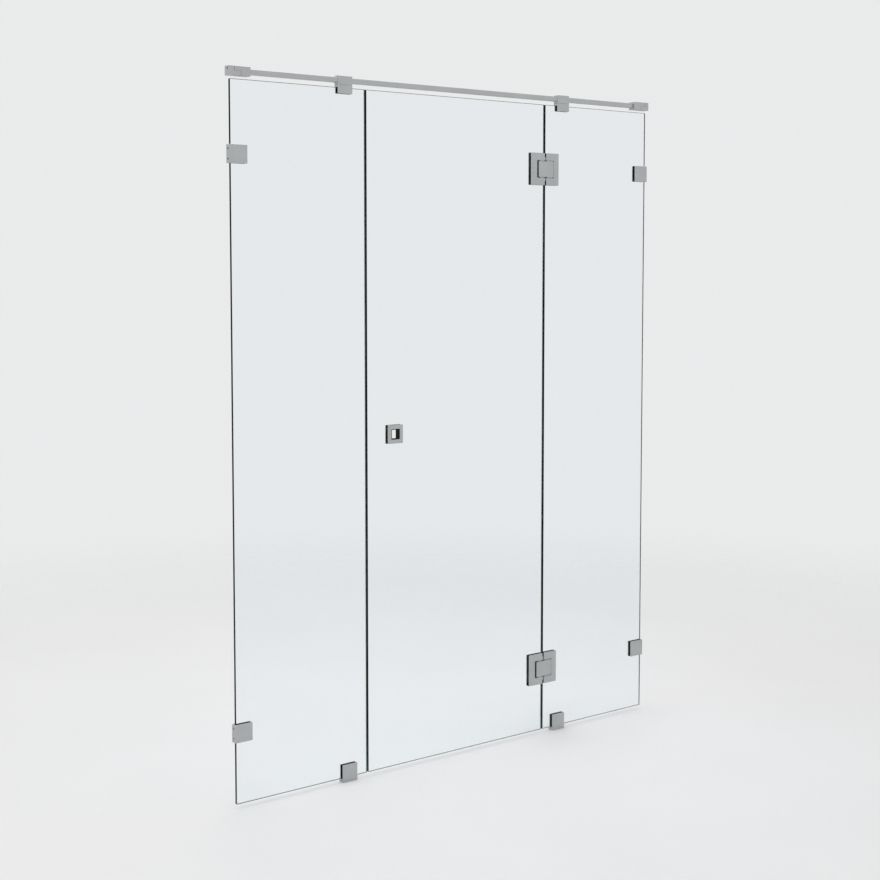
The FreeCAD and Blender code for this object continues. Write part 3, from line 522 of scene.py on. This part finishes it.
bpy.ops.mesh.primitive_circle_add(vertices=FLOOR_SIDES, radius=FLOOR_RADIUS, fill_type="NGON")
floor = bpy.context.object
floor.name = "studio_floor"
floor.data.materials.append(fading_floor("studio_floor"))
print("floor radius:", FLOOR_RADIUS, "m")

# %% [markdown]
# ## World
# The world is one soft, pale light. A strong world would wash the pieces out, and a weak one would
# turn the background grey, so the two are kept apart by the kind of ray. What the camera, the metal
# and the glass see is the background's own pale grey, and a little less falls on matt surfaces.

# %% Background and sky light
BACKGROUND = (0.82, 0.825, 0.83, 1)
SKY_COLOUR = (1, 1, 1, 1)
SKY_LIGHT = 0.65
RAYS_THAT_SEE = ("Is Camera Ray", "Is Glossy Ray", "Is Transmission Ray")


def any_ray(tree, kinds):
    """1 for a ray of any of these kinds, 0 for the others."""
    rays = add_node(tree, "ShaderNodeLightPath")
    result = rays.outputs[kinds[0]]
    for kind in kinds[1:]:
        either = add_node(tree, "ShaderNodeMath", operation="MAXIMUM")
        tree.links.new(result, either.inputs[0])
        tree.links.new(rays.outputs[kind], either.inputs[1])
        result = either.outputs[0]
    return result


def background(tree, colour, strength):
    """A plain background of one colour."""
    node = add_node(tree, "ShaderNodeBackground")
    node.inputs["Color"].default_value = colour
    node.inputs["Strength"].default_value = strength
    return node.outputs["Background"]


world = bpy.data.worlds.new("studio")
bpy.context.scene.world = world
world.use_nodes = True
sky = world.node_tree
sky.nodes.clear()
seen = background(sky, BACKGROUND, strength=1.0)
falling = background(sky, SKY_COLOUR, strength=SKY_LIGHT)
output = add_node(sky, "ShaderNodeOutputWorld")
sky.links.new(mix_shaders(sky, any_ray(sky, RAYS_THAT_SEE), falling, seen), output.inputs["Surface"])
print("sky light:", SKY_LIGHT)

# %% [markdown]
# ## Lamps
# A large soft lamp hangs overhead, a little behind the panes, so that the floor seen through the
# glass is the brighter side, and a second one stands high at the left. Lower lamps would model the
# fittings more strongly, but the upright panes would mirror them into the camera. These are too
# high for that, so the glass stays clear.


# %% Soft lamps
def soft_lamp(name, place, target, side, power):
    """A square area lamp that faces a target point."""
    bpy.ops.object.light_add(type="AREA", location=place)
    lamp = bpy.context.object
    lamp.name = name
    lamp.data.shape = "SQUARE"
    lamp.data.size = side
    lamp.data.energy = power
    towards = Vector(target) - Vector(place)
    lamp.rotation_euler = towards.to_track_quat("-Z", "Y").to_euler()
    return lamp


lamps = [
    soft_lamp("overhead_lamp", place=(0, 0.8, 4.6), target=(0, 0.8, 0), side=4.0, power=82),
    soft_lamp("side_lamp", place=(-3.4, -2.6, 5.0), target=(0, 0, 1.0), side=2.0, power=45),
]
print("lamps:", [lamp.name for lamp in lamps])

# %% [markdown]
# ## Finish
# The colours are shown as they are, with the Standard view: a film-like view is softer, but it
# moves every colour away from its written value.

# %% View settings
bpy.context.scene.view_settings.view_transform = "Standard"
